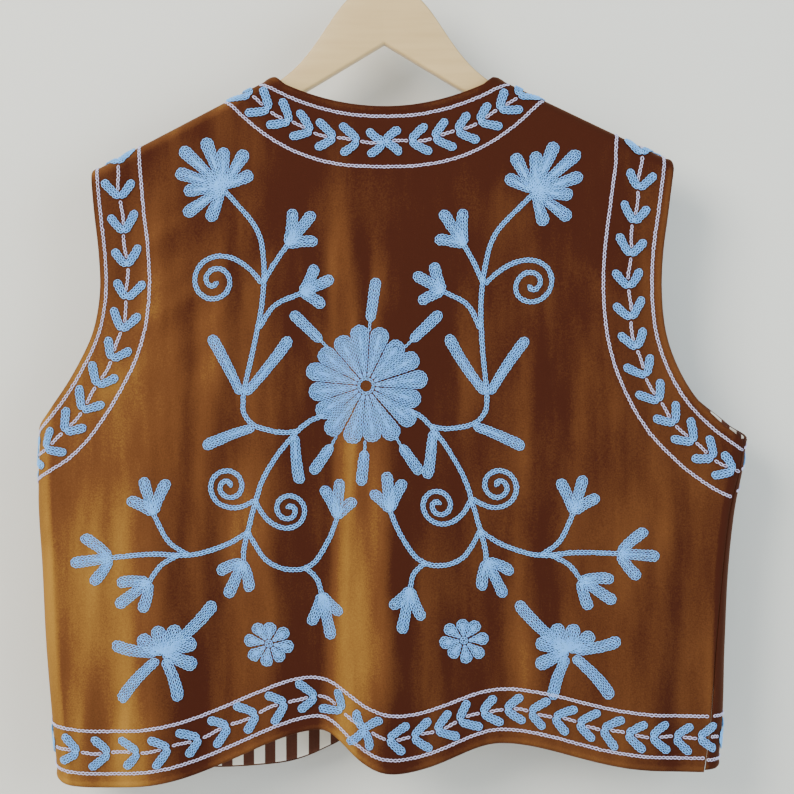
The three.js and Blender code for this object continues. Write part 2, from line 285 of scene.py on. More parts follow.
# The back neck: a parabola that rises to the shoulders at its ends.
def neckEdge(share):
    rise = shoulderSpare * smooth(np.abs(share), 0.86, 1)
    z = cloth["neckPoint"] - cloth["neckDrop"] * (1 - share * share) + rise - tipGap
    return pair(share * cloth["neckHalf"], z)


# Top, bottom, left and right of the back, each a line read by a share of its length.
def backOutline():
    first, last = neckColumns
    leftShoulder = shoulderLine("left", cloth["shoulderTip"]["left"], cloth["neckHalf"])
    rightShoulder = shoulderLine("right", cloth["neckHalf"], cloth["shoulderTip"]["right"])

    def top(u):
        u = np.asarray(u, float)
        neck = neckEdge(np.clip(lerp(-1, 1, (u - first) / (last - first)), -1, 1))
        line = np.where((u <= first)[..., None], leftShoulder(u / first), neck)
        return np.where((u >= last)[..., None], rightShoulder((u - last) / (1 - last)), line)
    left = sideLine("back", "left", hemHeight(-seamAcross("back", "left", cloth["backHem"][0] + 9)))
    right = sideLine("back", "right", hemHeight(seamAcross("back", "right", cloth["backHem"][1] + 2)))

    def bottom(u):
        x = lerp(left(1.0)[0], right(1.0)[0], np.asarray(u, float))
        return pair(x, hemHeight(x))
    return top, bottom, left, right


# The same four for a front; its inner side is the neckline, front edge and rounded corner.
def frontOutline(side):
    sign = -1 if side == "left" else 1
    left = sideLine("front", side, frontHem[side][-1])
    last = frontEdge["z"][-1]
    cornerDrop = frontHem[side][0] - last

    def right(v):
        v = np.asarray(v, float)
        down = lerp(cloth["neckPoint"], last, v)
        x = sign * readTable(frontEdge, "z", "x", down) + cloth["frontCentre"] * smooth(-down, 150, 330)
        z = down + shoulderSpare * (1 - smooth(v, 0, 0.03)) - tipGap + cornerDrop * smooth(v, 0.5, 1)
        return pair(x, z)

    def bottom(u):
        x = lerp(left(1.0)[0], right(1.0)[0], np.asarray(u, float))
        return pair(x, readTable(frontHem, "x", side, np.abs(x - cloth["frontCentre"])))
    return shoulderLine(side, cloth["shoulderTip"][side], cloth["neckHalf"]), bottom, left, right


# Each point of the grid blends the four edges that it lies between.
def fillOutline(outline, us, vs):
    top, bottom, left, right = outline
    u = us[None, :, None]
    v = vs[:, None, None]
    corners = lerp(lerp(top(0.0), top(1.0), u), lerp(bottom(0.0), bottom(1.0), u), v)
    sides = lerp(left(vs)[:, None], right(vs)[:, None], u)
    return lerp(top(us)[None], bottom(us)[None], v) + sides - corners


# Steps from one stop to the next, closer together where a run asks for them.
def runSteps(*stops):
    steps = [0.0]
    for upTo, count in stops:
        steps.extend(np.linspace(steps[-1], upTo, count + 1)[1:])
    return np.array(steps)


panelSteps = {
    "back": {
        "us": runSteps((0.016, 6), (0.09, 15), (0.3, 36), (0.33, 8), (0.68, 54), (0.71, 8), (0.95, 42),
                       (0.984, 8), (1, 6)),
        "vs": runSteps((0.016, 5), (0.05, 7), (0.4, 52), (0.45, 12), (0.984, 78), (1, 6)),
    },
    "front": {
        "us": runSteps((0.025, 5), (0.16, 12), (0.975, 56), (1, 5)),
        "vs": runSteps((0.016, 5), (0.05, 7), (0.4, 48), (0.45, 11), (0.98, 66), (1, 7)),
    },
}
liningSteps = {
    "back": {
        "us": runSteps((0.012, 2), (0.09, 10), (0.3, 22), (0.33, 5), (0.68, 30), (0.71, 5), (0.95, 24),
                       (0.988, 5), (1, 2)),
        "vs": runSteps((0.012, 2), (0.05, 6), (0.4, 32), (0.45, 10), (0.988, 46), (1, 2)),
    },
    "front": {
        "us": runSteps((0.02, 2), (0.16, 10), (0.98, 34), (1, 2)),
        "vs": runSteps((0.012, 2), (0.05, 6), (0.4, 30), (0.45, 10), (0.988, 42), (1, 2)),
    },
}


# Shortest way from each point to a line of points.
def distanceTo(points, line):
    flat = points.reshape(-1, 2).astype(np.float32)
    line = line.astype(np.float32)
    best = np.full(len(flat), 1e6, np.float32)
    for start in range(0, len(line), 40):
        part = line[start:start + 40]
        away = np.hypot(flat[:, None, 0] - part[None, :, 0], flat[:, None, 1] - part[None, :, 1])
        best = np.minimum(best, away.min(1))
    return best.reshape(points.shape[:-1])


# The edges that are finished rather than sewn to another panel.
def freeEdges(face, side=None):
    fine = np.linspace(0, 1, 400)
    armPart = fine * underarm
    if face == "back":
        top, bottom, left, right = backOutline()
        return [neckEdge(np.linspace(-1, 1, 200)), left(armPart), right(armPart), bottom(fine)]
    top, bottom, left, right = frontOutline(side)
    return [left(armPart), np.concatenate([right(fine), bottom(fine)[::-1]])]


# A mesh from points in millimetres and faces of equal size, with smooth shading.
def addMesh(name, verts, faces, uv=None, attributes=None):
    mesh = bpy.data.meshes.new(name)
    mesh.vertices.add(len(verts))
    mesh.vertices.foreach_set("co", (np.asarray(verts) * metres).astype(np.float32).ravel())
    mesh.loops.add(faces.size)
    mesh.loops.foreach_set("vertex_index", faces.astype(np.int32).ravel())
    mesh.polygons.add(len(faces))
    mesh.polygons.foreach_set("loop_start", np.arange(0, faces.size, faces.shape[1], dtype=np.int32))
    mesh.update(calc_edges=True)
    mesh.validate()
    mesh.polygons.foreach_set("use_smooth", np.ones(len(mesh.polygons), bool))
    if uv is not None:
        layer = mesh.uv_layers.new(name="cloth")
        layer.data.foreach_set("uv", uv[faces.ravel()].astype(np.float32).ravel())
    for label, values in (attributes or {}).items():
        attribute = mesh.attributes.new(label, "FLOAT", "POINT")
        attribute.data.foreach_set("value", values.astype(np.float32))
    mesh.update()
    piece = bpy.data.objects.new(name, mesh)
    bpy.context.scene.collection.objects.link(piece)
    return piece


# Painted sheen and painted shade on the pile, patches where it looks more lit, or less: middle, lean,
# length, width and gain.
paintedSheens = makeTable(
    "x z angle long wide gain",
    (-166, -289, 0.66, 42, 13, 0.15), (-136, -322, 0.75, 46, 11, 0.12), (-116, -340, 1.1, 60, 14, 0.13),
    (-178, -258, 0.62, 30, 6, 0.10), (-150, -300, 0.7, 34, 6, 0.13), (-128, -348, 0.95, 36, 7, 0.06),
    (-188, -322, 0.6, 30, 7, 0.11), (-98, -296, 1.1, 36, 7, 0.08), (-205, -372, 0.8, 34, 8, 0.09),
    (-62, -210, 0.5, 30, 9, -0.05), (168, -300, 2.3, 38, 9, 0.06), (206, -430, 2.0, 36, 9, 0.06),
    (-40, -262, 1.5, 50, 12, 0.07), (36, -548, 1.35, 70, 20, 0.13), (4, -600, 1.7, 50, 16, 0.08),
    (120, -500, 1.5, 50, 16, -0.05),
    (-100, -560, 1.4, 70, 14, -0.06), (-215, -500, 1.5, 60, 18, 0.06), (60, -230, 0.2, 50, 14, 0.05))


# Painted light on the pile: a painted golden sheen where the cloth faces left, towards the window lamp, and
# on the left side; brown elsewhere.
def paintedPileLight(face, x, z, normal):
    lean = np.clip(-normal[..., 0], -0.4, 0.35)
    # Painted sheen over the left side, which faces the window lamp, with more of it lower down; a little
    # lighter low down and towards the right, darker near the top.
    side = 0.285 * smooth(-x, 40, 240) * (0.5 + 0.5 * smooth(-z, 200, 400)) + 0.05 * smooth(-z, 400, 560)
    side = side + 0.05 * smooth(x, 120, 260) - 0.11 * (1 - smooth(-z, 190, 330))
    # Adds the painted sheen and painted shade patches from the table.
    for middleX, middleZ, angle, long, wide, gain in zip(*paintedSheens.values()):
        alongIt = (x - middleX) * np.cos(angle) + (z - middleZ) * np.sin(angle)
        acrossIt = (z - middleZ) * np.cos(angle) - (x - middleX) * np.sin(angle)
        side = side + gain * np.exp(-(alongIt / long) ** 2 - (acrossIt / wide) ** 2)
    # A painted sheen streak beside the back's middle crease, wider and stronger towards the hem.
    low = smooth(-z, 280, 590)
    start = -25 - 12 * low
    width = 12 + 28 * low
    streak = (0.10 + 0.08 * low) * smooth(x, start - 3, start + 3)
    streak = streak * (1 - smooth(x, start + width / 2, start + width)) * smooth(-z, 190, 240)
    return np.clip(0.20 + 0.85 * lean + side + (streak if face == "back" else 0), 0, 1)


# A shell of cloth: an outer grid, an inner grid, and between their borders three rings that round the
# edge as half a circle. The outer face stands up a little in a roll beside its free edges.
def clothShell(name, face, flat, start, wall, edges=()):
    half = wall / 2
    out = np.zeros_like(flat)
    out[0] += unit(flat[0] - flat[1])
    out[-1] += unit(flat[-1] - flat[-2])
    out[:, 0] += unit(flat[:, 0] - flat[:, 1])
    out[:, -1] += unit(flat[:, -1] - flat[:, -2])
    inset = flat - half * out
    roll = 0
    if edges:
        away = np.minimum.reduce([distanceTo(flat, line) for line in edges])
        roll = 0.85 * np.sin(math.pi * np.clip(away / 5.5, 0, 1))
    rows, columns = flat.shape[:2]
    index = np.arange(rows * columns).reshape(rows, columns)
    border = np.concatenate([index[0, :-1], index[:-1, -1], index[-1, :0:-1], index[:0:-1, 0]])
    borderFlat = inset.reshape(-1, 2)[border]
    borderOut = out.reshape(-1, 2)[border]
    layers = [(inset.reshape(-1, 2), (start - roll * np.ones((rows, columns))).ravel())]
    for angle in np.radians([45, 0, -45]):
        depth = start + half - half * math.sin(angle)
        layers.append((borderFlat + half * math.cos(angle) * borderOut, np.full(len(border), depth)))
    layers.append((inset.reshape(-1, 2), np.full(rows * columns, start + wall)))
    spots = np.concatenate([layer[0] for layer in layers])
    depths = np.concatenate([layer[1] for layer in layers])
    normal = clothNormal(face, spots[:, 0], spots[:, 1])
    verts = clothPlace(face, spots[:, 0], spots[:, 1]) - normal * depths[:, None]
    count, ring = rows * columns, len(border)
    outer = np.stack([index[:-1, :-1], index[1:, :-1], index[1:, 1:], index[:-1, 1:]], -1).reshape(-1, 4)
    inner = outer[:, ::-1] + count + 3 * ring
    loops = [border] + [count + k * ring + np.arange(ring) for k in range(3)] + [border + count + 3 * ring]
    walls = [np.stack([a, np.roll(a, -1), np.roll(b, -1), b], -1) for a, b in zip(loops, loops[1:])]
    faces = np.concatenate([outer, inner] + walls)
    if face == "front":
        faces = faces[:, ::-1]
    # The painted light on the pile goes on the mesh as a point attribute.
    paintedLight = paintedPileLight(face, spots[:, 0], spots[:, 1], normal)
    # The raised roll beside the free edges gets a painted highlight.
    if edges:
        paintedLight[:count] += 0.13 * roll.ravel()
    return addMesh(name, verts, faces, uv=spots / uvStep, attributes={"paintedLight": paintedLight})


layers = (
    {"prefix": "", "steps": panelSteps, "start": 0, "wall": cloth["velvetWall"], "trim": 0},
    {"prefix": "lining_", "steps": liningSteps, "start": cloth["velvetWall"] + cloth["gap"],
     "wall": cloth["liningWall"], "trim": cloth["liningTrim"]},
)
cutHeight = 500
cutWidth = {"back": 540, "front": 285}
panels = {}
for name, face, side in (("back", "back", None), ("front_left", "front", "left"),
                         ("front_right", "front", "right")):
    outline = backOutline() if face == "back" else frontOutline(side)
    panels[name] = []
    for layer in layers:
        steps = layer["steps"][face]
        trimU, trimV = layer["trim"] / cutWidth[face], layer["trim"] / cutHeight
        flat = fillOutline(outline, lerp(trimU, 1 - trimU, steps["us"]), lerp(trimV, 1 - trimV, steps["vs"]))
        if side == "right":
            flat = flat[:, ::-1]
        edges = () if layer["prefix"] else freeEdges(face, side)
        panels[name].append(clothShell(
            layer["prefix"] + name + "_cloth", face, flat, layer["start"], layer["wall"], edges))
    print("cloth", name, [len(piece.data.polygons) for piece in panels[name]])


stitch = {
    "pitch": 3.0,
    "rowGap": 2.4,
    "loopHalf": 0.84,      # half the loop's width, to the middle of its strand
    "strand": 0.45,
    "overlap": 1.25,       # each loop's length against the pitch
    "lift": 0.3,
}


# A smooth line through a few points, by the cubic that passes through each of them.
def smoothLine(points, count=14):
    p = np.asarray(points, float)
    p = np.concatenate([[2 * p[0] - p[1]], p, [2 * p[-1] - p[-2]]])
    t = np.linspace(0, 1, count, endpoint=False)[None, :, None]
    a, b, c, d = (p[k:len(p) - 3 + k, None, :] for k in range(4))
    square, cube = 2 * a - 5 * b + 4 * c - d, 3 * b - a - 3 * c + d
    line = 0.5 * (2 * b + (c - a) * t + square * t ** 2 + cube * t ** 3)
    return np.concatenate([line.reshape(-1, 2), p[-2:-1]])


def lineLength(line):
    return np.concatenate([[0], np.cumsum(np.hypot(*np.diff(line, axis=0).T))])


# Places on a line by their distance from its start.
def readLine(line, at):
    length = lineLength(line)
    return pair(np.interp(at, length, line[:, 0]), np.interp(at, length, line[:, 1]))


# The same line with points an even way apart.
def evenly(line, count=600):
    return readLine(line, np.linspace(0, lineLength(line)[-1], count))


# Each point but the ends moves towards the middle of its neighbours, a number of times.
def eased(line, times):
    line = line.copy()
    for _ in range(times):
        line[1:-1] = (line[:-2] + 2 * line[1:-1] + line[2:]) / 4
    return line


# Moves a line sideways by a distance, to its left when positive.
def sideways(line, distance):
    along = unit(np.gradient(line, axis=0))
    return line + distance * pair(-along[:, 1], along[:, 0])


# Rows of a leaf or petal, nested one inside the other. Half the width goes straight from the base's to
# the tip's and closes in a round end; each row lies one step further in, and a last one runs up the middle.
def leafRows(base, tip, width, bend=0, baseShare=0.62):
    base, tip = np.asarray(base, float), np.asarray(tip, float)
    length = float(np.hypot(*(tip - base)))
    along = (tip - base) / length
    side = np.array([-along[1], along[0]])
    gap = stitch["rowGap"]
    baseHalf, tipHalf = width / 2 * baseShare, width / 2
    rows = []
    inset = gap / 2
    while tipHalf - inset > 0.3 * gap:
        start = inset * 0.8
        if baseHalf < inset - 0.45 * gap:
            wide = (inset - 0.45 * gap - baseHalf) / (tipHalf - baseHalf)
            start = max(start, wide * (length - 0.8 * tipHalf))
        end = length - inset
        if end - start < gap:
            break
        y = start + (end - start) * (1 - np.cos(np.linspace(0, math.pi, 24))) / 2
        half = np.maximum(lerp(baseHalf, tipHalf, np.clip(y / (length - 0.8 * tipHalf), 0, 1)) - inset, 0)
        tipRound, baseRound = max(tipHalf - inset, 0.6), max(baseHalf - inset, 0.6)
        half *= np.sqrt(np.clip(1 - np.clip((y - end + tipRound) / tipRound, 0, 1) ** 2, 0, 1))
        half *= np.sqrt(np.clip(1 - np.clip((start + baseRound - y) / baseRound, 0, 1) ** 2, 0, 1))
        rows.append((np.concatenate([y, y[::-1]]), np.concatenate([half, -half[::-1]])))
        inset += gap
    left = tipHalf - (inset - gap)
    if left > 0.72 * gap:
        start = (inset - 1.3 * gap - baseHalf) / max(tipHalf - baseHalf, 0.1) * length
        y = np.linspace(np.clip(start, gap, length * 0.6), length - inset * 0.9, 8)
        rows.append((y, np.zeros(8)))
    bow = 4 * bend / length ** 2
    return [base + along * y[:, None] + side * (half + bow * y * (length - y))[:, None] for y, half in rows]


# A curl that starts away from its middle and winds in: its radius falls as a root of what is left of the
# way, plus a lead that dies out in the first sixth of a turn.
def curl(middle, start, radius, turn, sweep=680):
    middle, start = np.asarray(middle, float), np.asarray(start, float)
    reach = float(np.hypot(*(start - middle)))
    first = math.atan2(*(start - middle)[::-1])
    way = np.radians(np.linspace(0, sweep, 90))
    left = 1 - way / math.radians(sweep + 14)
    size = radius * left ** 0.68 + (reach - radius) * np.exp(-way / 0.62)
    return middle + size[:, None] * pair(np.cos(first + turn * way), np.sin(first + turn * way))


# Places loops along each line, one pitch apart.
def layLoops(lines, pitch):
    spots, ways, sizes = [], [], []
    for line in lines:
        length = lineLength(line)[-1]
        count = max(int(round(length / pitch)), 1)
        points = evenly(line, count + 1)
        step = np.diff(points, axis=0)
        spots.append((points[1:] + points[:-1]) / 2)
        ways.append(unit(step))
        sizes.append(np.full(count, length / count / pitch))
    return np.concatenate(spots), np.concatenate(ways), np.concatenate(sizes)


loopSteps = 7


# One loop of thread: round a drop, narrow where it starts and wide where the next one holds it down,
# arched a little over the cloth, with three sides to the strand.
def loopShape(pitch):
    around = np.linspace(0, 2 * math.pi, loopSteps, endpoint=False)
    length = pitch * stitch["overlap"]
    along = -np.cos(around) * (length / 2 - stitch["strand"] * 0.6)
    across = np.sin(around) * stitch["loopHalf"] * (1.0 - 0.22 * np.cos(around))
    height = stitch["lift"] + 0.18 * np.sin(around) ** 2 + 0.12 * (1 - np.cos(around)) / 2
    outAlong, outAcross = -np.cos(around), np.sin(around)
    verts = []
    for angle in np.radians([90, 210, 330]):
        reach, up = stitch["strand"] * math.cos(angle), stitch["strand"] * math.sin(angle)
        verts.append(np.stack([along + reach * outAlong, across + reach * outAcross, height + up], -1))
    ring = np.arange(loopSteps)
    faces = []
    for k in range(3):
        a, b = k * loopSteps, (k + 1) % 3 * loopSteps
        ahead = (ring + 1) % loopSteps
        faces.append(np.stack([b + ring, b + ahead, a + ahead, a + ring], -1))
    return np.concatenate(verts), np.concatenate(faces)


# Turns directions on the flat cloth by an angle.
def turned(way, angle):
    x, z = way[..., 0], way[..., 1]
    return pair(x * np.cos(angle) - z * np.sin(angle), x * np.sin(angle) + z * np.cos(angle))


# Stitches along lines on the flat cloth, as one mesh of loops that lie on the worn cloth, each a little
# uneven in place, direction and size.
def stitchMesh(name, face, lines, pitch=None, widen=1, over=0):
    pitch = pitch or stitch["pitch"]
    spots, ways, sizes = layLoops(lines, pitch)
    count = len(spots)
    ways = turned(ways, rng.normal(0, 0.07, count))
    spots = spots + rng.normal(0, 0.09, spots.shape)
    reach = 0.5
    ahead = clothPlace(face, *(spots + reach * ways).T) - clothPlace(face, *(spots - reach * ways).T)
    normal = clothNormal(face, *spots.T)
    along = unit(ahead - normal * (ahead * normal).sum(-1, keepdims=True))
    across = np.cross(normal, along)
    shape, loopFaces = loopShape(pitch)
    scale = sizes[:, None] * rng.normal(1, 0.04, (count, 1))
    wide = rng.normal(widen, 0.06, (count, 1))
    verts = (clothPlace(face, *spots.T)[:, None]
             + along[:, None] * (shape[:, 0] * scale)[..., None]
             + across[:, None] * (shape[:, 1] * wide)[..., None]
             + normal[:, None] * (shape[:, 2] + over + rng.normal(0, 0.05, (count, 1)))[..., None])
    faces = (loopFaces[None] + len(shape) * np.arange(count)[:, None, None]).reshape(-1, 4)
    tint = np.repeat(rng.uniform(0, 1, count), len(shape))
    print("stitches", name, count)
    return addMesh(name, verts.reshape(-1, 3), faces, attributes={"tint": tint})


# The pattern is the same on both sides of a middle line that leans a little with the cloth.
middleLine = makeTable("z x", (-100, -2), (-180, -2), (-378, -14), (-800, -14))
daisy = {"middle": (0, -378), "petals": 16, "reach": 46.5, "hole": 5.0, "petalWidth": 15.6}

# Leaves round the daisy: foot and tip, away from its middle. The pairs stand on both sides.
radialLeaves = [((3, 50), (8, 85)), ((-1, -50), (-4, -78))]
radialPairs = [((35, 35), (59, 58)), ((27, -46), (43, -69))]

# The rest, for one side: distance from the middle line, and height.
stems = [
    [(33, -398), (44, -403), (53, -411)],
    [(53, -411), (66, -412), (85, -408), (95, -398), (96, -382)],
    [(96, -382), (90, -345), (86, -310), (87, -280), (94, -255), (120, -226)],
    [(86, -296), (78, -281), (69, -267)],
    [(87, -332), (76, -314), (56, -304)],
    [(53, -411), (66, -428), (78, -449), (84, -468), (90, -491)],
    [(90, -491), (108, -502), (135, -510), (165, -509), (197, -511)],
    [(137, -510), (152, -499), (163, -478)],
    [(144, -510), (158, -518), (167, -530)],
    [(90, -491), (93, -503), (94, -514)],
    [(90, -491), (76, -512), (57, -519), (40, -514), (27, -495), (20, -478)],
    [(46, -517), (37, -526), (34, -537)],
]
curls = [
    {"middle": (124, -297), "start": (88, -297), "radius": 19.5, "turn": -1},
    {"middle": (105, -456), "start": (85, -466), "radius": 16.5, "turn": 1},
    {"middle": (58, -472), "start": (84, -465), "radius": 15.5, "turn": -1},
]
sprigs = [
    ((69, -267), [(66, -238), (49, -240), (45, -263)]),
    ((56, -304), [(46, -281), (31, -291), (37, -314)]),
    ((163, -478), [(184, -466), (172, -449), (152, -451)]),
    ((167, -530), [(193, -531), (194, -549), (174, -554)]),
    ((197, -511), [(220, -493), (229, -514), (213, -531)]),
    ((94, -514), [(115, -524), (108, -543), (90, -538)]),
    ((20, -478), [(32, -453), (18, -447), (5, -463)]),
    ((34, -537), [(18, -553), (27, -573), (44, -562)]),
]
longLeaves = [
    ((86, -409), (126, -426)), ((95, -384), (62, -338)),
    ((98, -384), (125, -339)), ((54, -414), (49, -452)),
]
upperFlower = {
    "foot": (121, -224),
    "tips": [(-23, 12), (-17, 30), (1, 32), (16, 39), (35, 31), (38, 12), (31, -3), (30, -22), (10, -27)],
}
lowerFlower = {
    "foot": (158, -586),
    "leaves": [(40, 8), (-41, 40), (34, -37), (-12, -37)],
    "bends": [-1.5, 2, 2, -2],
    "petals": [(19, 14), (4, 22), (-12, 22), (-26, 9), (-26, -10)],
}
smallFlower = {"middle": (76, -577), "petals": 8, "reach": 18.5, "hole": 1.5, "petalWidth": 11}


# Lines on one side become lines on both, mirrored about the middle line and each a little off.
def bothSides(lines):
    made = []
    for sign in (-1, 1):
        for line in lines:
            away = line[:, 0] + 1.6 * np.sin(line[:, 1] / 46 + sign)
            z = line[:, 1] + 1.8 * np.sin(line[:, 0] / 41 + 2 * sign)
            z = z + 1.5 * sign * smooth(-line[:, 1], 250, 420)
            made.append(pair(sign * away + readTable(middleLine, "z", "x", z), z))
    return made


# Two rows of chain side by side.
def doubleRow(line):
    return [sideways(line, 0.78), sideways(line, -0.78)]


# Points round a circle.
def ringOf(middle, radius, count, sweep=2 * math.pi):
    around = np.linspace(0, sweep, count)
    return middle + radius * pair(np.cos(around), np.sin(around))


# Petals all round a small ring, none quite like the next in direction or length.
def wheel(part, uneven=0.05):
    middle = np.array(part["middle"], float)
    lines = []
    for k in range(part["petals"]):
        angle = 2 * math.pi * (k + 0.5 * uneven * math.sin(k * 2.3)) / part["petals"] + 0.12
        way = np.array([math.cos(angle), math.sin(angle)])
        reach = part["reach"] * (1 + uneven * math.sin(k * 1.9 + 1))
        start = middle + way * (part["hole"] + 1.6)
        lines += leafRows(start, middle + way * reach, part["petalWidth"], baseShare=0.12)
    lines.append(ringOf(middle, part["hole"] + 0.9, 40))
    return lines


daisyLines = wheel(daisy)
centre = np.array(daisy["middle"], float)
radialLines = []
for foot, tip in radialLeaves + radialPairs + [((-a, b), (-c, d)) for (a, b), (c, d) in radialPairs]:
    radialLines += leafRows(centre + foot, centre + tip, 9.2, baseShare=0.85)
    radialLines.append(np.array([centre + np.array(foot) * 0.86, centre + np.array(foot) * 1.04]))
daisyShift = np.array([float(readTable(middleLine, "z", "x", daisy["middle"][1])), 0])
daisyLines = [line + daisyShift for line in daisyLines + radialLines]

flowerLines = []
foot = np.array(upperFlower["foot"], float)
for tip in upperFlower["tips"]:
    flowerLines += leafRows(foot + np.array(tip) * 0.04, foot + tip, 10.8, baseShare=0.5)
flowerLines.append(ringOf(foot, 1.5, 12, 7))
foot = np.array(lowerFlower["foot"], float)
for tip, bend in zip(lowerFlower["leaves"], lowerFlower["bends"]):
    flowerLines += leafRows(foot + np.array(tip) * 0.1, foot + tip, 9.8, bend=bend, baseShare=0.8)
for tip in lowerFlower["petals"]:
    flowerLines += leafRows(foot, foot + tip, 12.0, baseShare=0.55)
flowerLines += wheel(smallFlower, 0.08)

vineLines = []
for points in stems:
    vineLines += doubleRow(smoothLine(points))
for part in curls:
    vineLines += doubleRow(curl(**part))
leafLines = []
for foot, tips in sprigs:
    for k, tip in enumerate(tips):
        leafLines += leafRows(foot, tip, 9.4, bend=(1.2, 0, -1.2)[k], baseShare=0.8)
for foot, tip in longLeaves:
    leafLines += leafRows(foot, tip, 9.4, bend=1.0, baseShare=0.75)


border = {"leafLength": 19, "leafWidth": 7.2, "leafSpread": 37, "leafBend": 0.5, "baseShare": 0.85,
          "crossLength": 17, "linePitch": 3.1, "lineWiden": 1.12, "leafOver": 0.55}


# The line that keeps one distance from an edge, without the part that another stretch comes nearer to.
def besideEdge(edge, distance):
    edge = evenly(edge)
    moved = sideways(edge, distance)
    moved = moved[distanceTo(moved, edge) > abs(distance) - 0.4]
    return eased(evenly(moved, max(int(lineLength(moved)[-1] / 3), 8)), 3)


# A point on a line, and the line's direction there.
def pointAt(line, at):
    return readLine(line, at), unit(readLine(line, at + 2) - readLine(line, at - 2))


# Where the pairs of leaves stand along a vine; `closing` draws them together towards its end.
def leafSpots(start, end, count, closing=0):
    t = np.linspace(0, 1, count)
    return start + (end - start) * t * (1 + closing * (1 - t))


# Pairs of leaves along a vine, opening forwards or backwards along it.
def vineLeaves(line, spots, forward):
    lines = []
    for at in spots:
        point, way = pointAt(line, at)
        way = way * forward
        for side in (-1, 1):
            angle = math.radians(border["leafSpread"] + 5 * math.sin(at * 3.1 + side)) * side
            size = border["leafLength"] * (1 + 0.07 * math.sin(at * 1.7 + side))
            lines += leafRows(point, point + turned(way, angle) * size, border["leafWidth"],
                              bend=border["leafBend"] * side, baseShare=border["baseShare"])
    return lines


# The vine stops short of each pair and goes on from the notch between its leaves.
def cutVine(line, spots, forward):
    line = evenly(line)
    length = lineLength(line)
    line = sideways(line, 0.9 * np.sin(length / 6.5)[:, None])
    ahead = (length[:, None] - np.asarray(spots)[None]) * np.asarray(forward)
    keep = (np.abs(ahead - 2.5) > 4).all(1)
    runs = np.split(np.arange(len(line)), np.flatnonzero(np.diff(keep.astype(int))) + 1)
    return [line[run] for run in runs if keep[run[0]] and len(run) > 4]


# Four leaves from one point, where two runs of leaves meet.
def crossLeaves(point, angles):
    lines = []
    for angle in angles:
        way = np.array([math.cos(math.radians(angle)), math.sin(math.radians(angle))])
        lines += leafRows(point, point + way * border["crossLength"], border["leafWidth"], bend=1.5,
                          baseShare=border["baseShare"])
    return lines


share = np.linspace(-1, 1, 120)
power = np.abs(share)
neckOuter = pair(98 * share, -166.5 + 27.5 * power ** 2.15)
neckInner = pair(125 * share, -206 + 54 * power ** 2.6)
neckVine = pair(111 * share, -186.5 + 41.5 * power ** 2.4)
fine = np.linspace(0, 1, 400)
top, bottom, left, right = backOutline()
leftArm, rightArm = left(fine[fine < underarm]), right(fine[fine < underarm])
hemSpare = 16
hemX = np.linspace(left(1.0)[0] - hemSpare, right(1.0)[0] + hemSpare, 400)
hem = pair(hemX, hemHeight(hemX))
leftArm = np.concatenate([[[-233, -165]], leftArm, [[-320, armholeFoot - 1]]])
rightArm = np.concatenate([[[230, -165]], rightArm, [[300, armholeFoot - 3]]])


def rise(line, up):
    return line + np.array([0, up])


def softened(line, times, count=240):
    return eased(evenly(line, count), times)


# The part of a line that lies between a face's side seams and below its shoulders.
def inside(line, face, spare=0.4):
    x, z = line[:, 0], line[:, 1]
    keep = (-x < seamAcross(face, "left", z) - spare) & (x < seamAcross(face, "right", z) - spare)
    return line[keep & (z < shoulderHeight(x) + shoulderSpare - 1)]


leftOuter, leftInner, leftVine = (inside(besideEdge(leftArm, d), "back") for d in (5, 39, 21.5))
rightOuter, rightInner, rightVine = (inside(besideEdge(rightArm, -d), "back") for d in (8, 46, 26))
hemLow = inside(rise(hem, 11), "back")
hemHigh = inside(softened(rise(hem, 43.5), 60), "back")
hemVine = inside(softened(rise(hem, 27), 20), "back")
hemCrossX = -15.5
hemCross = np.array([hemCrossX, float(hemHeight(np.float64(hemCrossX))) + 27])

neckLength = lineLength(neckVine)[-1]
hemLength = lineLength(hemVine)[-1]
hemMiddle = float(np.interp(hemCrossX, hemVine[:, 0], lineLength(hemVine)))
leftLength, rightLength = lineLength(leftVine)[-1], lineLength(rightVine)[-1]
vines = [
    (neckVine, leafSpots(8, neckLength / 2 - 20, 6), -1),
    (neckVine, leafSpots(neckLength / 2 + 20, neckLength - 8, 6), 1),
    (leftVine, leafSpots(9, leftLength - 6, 13, 0.2), -1),
    (rightVine, leafSpots(12, rightLength - 6, 13, 0.2), -1),
    (hemVine, leafSpots(10, hemMiddle - 21, 12), -1),
    (hemVine, leafSpots(hemMiddle + 20, hemLength - 8, 14), 1),
]
borderLeaves = (
    crossLeaves(pointAt(neckVine, neckLength / 2)[0], (38, 142, 218, 322))
    + crossLeaves(hemCross, (28, 112, 218, 285)))
for line, spots, forward in vines:
    borderLeaves += vineLeaves(line, spots, forward)
borderLines = [neckOuter, neckInner, leftOuter, leftInner, rightOuter, rightInner, hemLow, hemHigh]
for line, middle, pairs in ((neckVine, neckLength / 2, vines[:2]), (hemVine, hemMiddle, vines[4:])):
    spots = np.concatenate([pairs[0][1], pairs[1][1], [middle]])
    ways = np.repeat([-1, 1, 1], [len(pairs[0][1]), len(pairs[1][1]), 1])
    borderLines += cutVine(line, spots, ways)
for line, spots, forward in vines[2:4]:
    borderLines += cutVine(line, spots, forward)

threadPieces = {}
threadPieces["back"] = [
    stitchMesh("embroidery_daisy", "back", daisyLines),
    stitchMesh("embroidery_flowers", "back", bothSides(flowerLines)),
    stitchMesh("embroidery_leaves", "back", bothSides(leafLines)),
    stitchMesh("embroidery_vines", "back", bothSides(vineLines)),
    stitchMesh("border_leaves_back", "back", borderLeaves, over=border["leafOver"]),
]
edgePieces = {"back": [
    stitchMesh("border_lines_back", "back", borderLines, border["linePitch"], border["lineWiden"])]}

